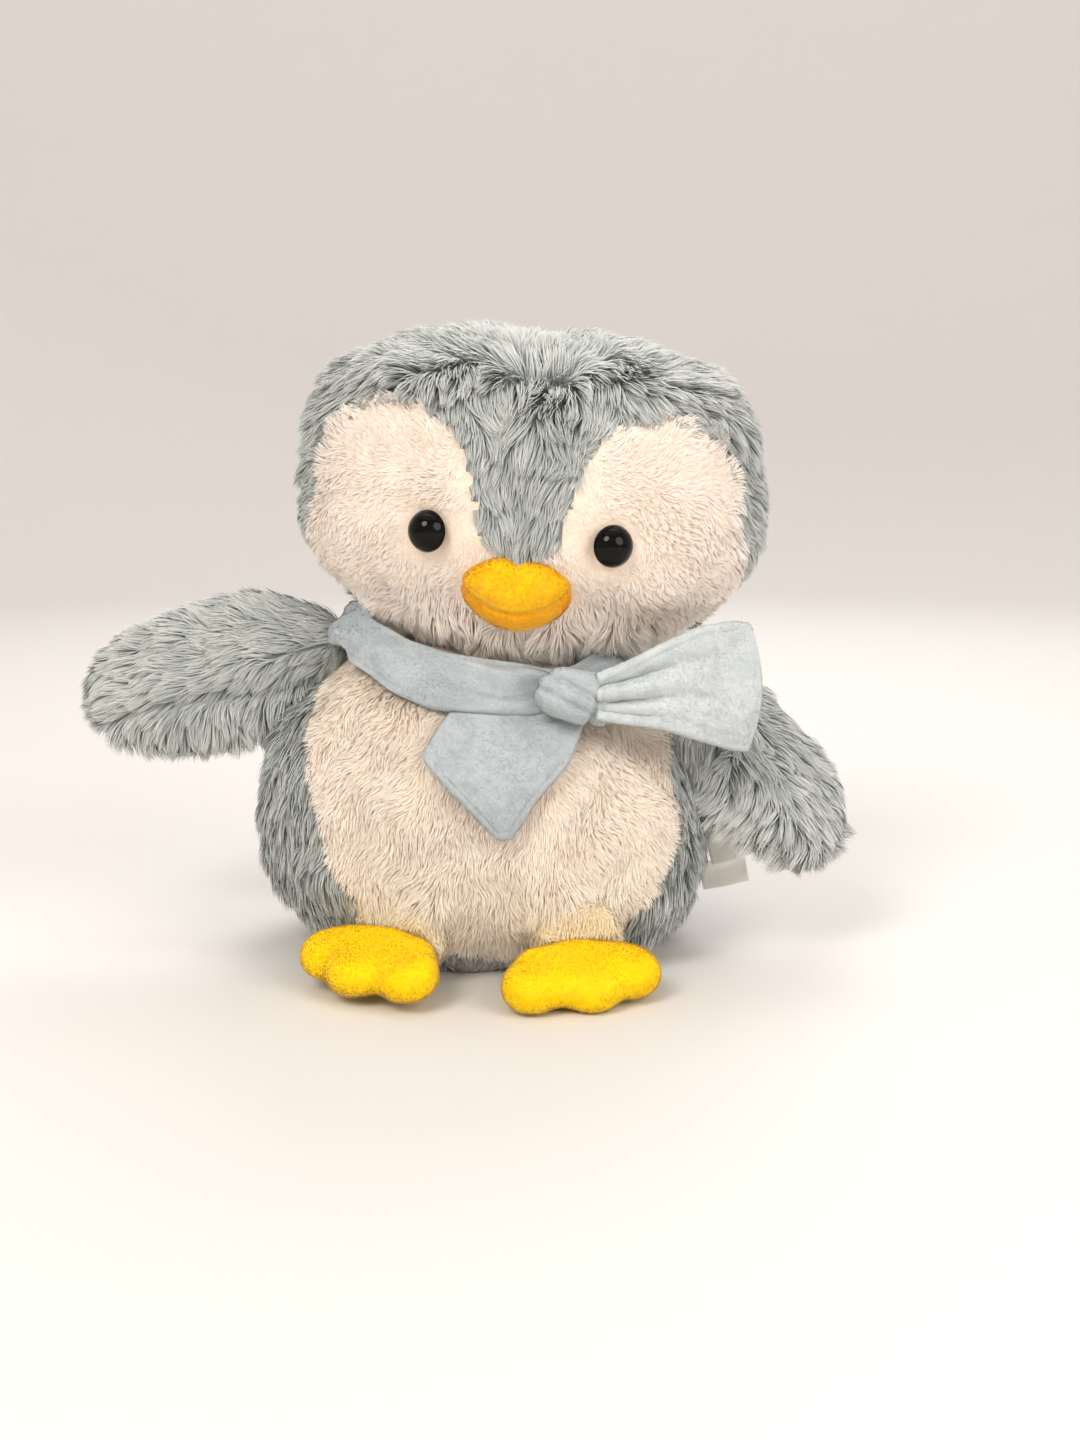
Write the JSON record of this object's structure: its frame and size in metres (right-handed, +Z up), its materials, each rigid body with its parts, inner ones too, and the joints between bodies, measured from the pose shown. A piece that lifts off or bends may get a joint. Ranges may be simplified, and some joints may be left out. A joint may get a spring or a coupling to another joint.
{
  "type": "plush penguin",
  "caption": "Sitting plush penguin with a knotted scarf: its head turns, its wings and feet bend and the scarf tails swing.",
  "frame": {"origin": "middle of the flat base panel, on the surface the toy sits on", "axes": "-Y is the way the face looks, +X is its left hand, +Z is up"},
  "size_m": [0.2929, 0.1576, 0.2287],
  "materials": {
    "plush_grey": "long brushed pile, blue-grey with paler tips",
    "plush_cream": "medium pile, warm cream",
    "plush_yellow": "short dense pile, bright yellow",
    "plush_amber": "short dense pile, amber yellow",
    "scarf_minky": "very short soft nap, pale grey-blue",
    "polyester_fill": "loose white fibre",
    "bean_bag_cotton": "plain cotton",
    "eye_black": "polished black",
    "washer_plastic": "moulded natural plastic",
    "label_satin": "smooth woven satin, blank",
    "sewing_thread": "twisted polyester thread"
  },
  "bodies": {
    "torso": {"belly_panel": "plush_cream", "back_panel_left": "plush_grey", "back_panel_right": "plush_grey", "base_panel": "plush_grey", "body_stuffing": "polyester_fill", "bean_pouch": "bean_bag_cotton", "leg_left": "plush_cream", "leg_right": "plush_cream", "scarf_band": "scarf_minky", "scarf_knot": "scarf_minky"},
    "neck_wad": {"neck_stuffing": "polyester_fill"},
    "neck_seam": {"neck_thread": "sewing_thread"},
    "head": {"forehead_panel": "plush_grey", "head_back_left": "plush_grey", "head_back_right": "plush_grey", "face_patch_left": "plush_cream", "face_patch_right": "plush_cream", "head_stuffing": "polyester_fill", "eye_left": "eye_black", "eye_right": "eye_black", "eye_washer_left": "washer_plastic", "eye_washer_right": "washer_plastic", "beak_upper": "plush_amber", "beak_lower": "plush_amber", "beak_stuffing": "polyester_fill"},
    "wing_left": {"wing_left_outer": "plush_grey", "wing_left_inner": "plush_grey", "wing_left_stuffing": "polyester_fill"},
    "wing_right": {"wing_right_outer": "plush_grey", "wing_right_inner": "plush_grey", "wing_right_stuffing": "polyester_fill"},
    "foot_left": {"foot_left_top": "plush_yellow", "foot_left_sole": "plush_yellow", "foot_left_stuffing": "polyester_fill"},
    "foot_right": {"foot_right_top": "plush_yellow", "foot_right_sole": "plush_yellow", "foot_right_stuffing": "polyester_fill"},
    "scarf_tail_front": {"scarf_tail_front": "scarf_minky"},
    "scarf_tail_side": {"scarf_tail_side": "scarf_minky"},
    "care_labels": {"care_label_large": "label_satin", "care_label_small": "label_satin"}
  },
  "joints": [
    {"name": "head_turn", "type": "hinge", "parent": "torso", "child": "neck_wad", "pos_m": [0.014, 0, 0.111], "axis": [0, 0, 1], "range_deg": [-20, 20], "stiffness_Nm_per_rad": 0.6},
    {"name": "head_nod", "type": "hinge", "parent": "neck_wad", "child": "neck_seam", "pos_m": [0.014, 0, 0.111], "axis": [1, 0, 0], "range_deg": [-7, 7], "stiffness_Nm_per_rad": 1.5},
    {"name": "head_tilt", "type": "hinge", "parent": "neck_seam", "child": "head", "pos_m": [0.014, 0, 0.111], "axis": [0, 1, 0], "range_deg": [-4, 4], "stiffness_Nm_per_rad": 1.5},
    {"name": "wing_left_raise", "type": "hinge", "parent": "torso", "child": "wing_left", "pos_m": [0.07975, 0, 0.10206], "axis": [0.4189, -0.9074, -0.033], "range_deg": [-2, 42], "stiffness_Nm_per_rad": 0.12},
    {"name": "wing_right_raise", "type": "hinge", "parent": "torso", "child": "wing_right", "pos_m": [-0.06281, 0, 0.11328], "axis": [0.4189, 0.9074, -0.033], "range_deg": [-15, 25], "stiffness_Nm_per_rad": 0.12},
    {"name": "foot_left_lift", "type": "hinge", "parent": "torso", "child": "foot_left", "pos_m": [0.04, -0.063, 0.0197], "axis": [-0.9563, -0.2924, 0], "range_deg": [0, 35], "stiffness_Nm_per_rad": 0.02},
    {"name": "foot_right_lift", "type": "hinge", "parent": "torso", "child": "foot_right", "pos_m": [-0.028, -0.061, 0.0227], "axis": [-0.891, 0.454, 0], "range_deg": [-6, 35], "stiffness_Nm_per_rad": 0.02},
    {"name": "scarf_tail_front_swing", "type": "hinge", "parent": "torso", "child": "scarf_tail_front", "pos_m": [0.028, -0.058, 0.097], "axis": [-1, 0, 0], "range_deg": [0, 65]},
    {"name": "scarf_tail_side_swing", "type": "hinge", "parent": "torso", "child": "scarf_tail_side", "pos_m": [0.0525, -0.06, 0.108], "axis": [0, 0, -1], "range_deg": [0, 50], "stiffness_Nm_per_rad": 0.004},
    {"name": "care_labels_swing", "type": "hinge", "parent": "torso", "child": "care_labels", "pos_m": [0.0876, 0.0044, 0.035], "axis": [0, 0, 1], "range_deg": [-35, 35]}
  ]
}
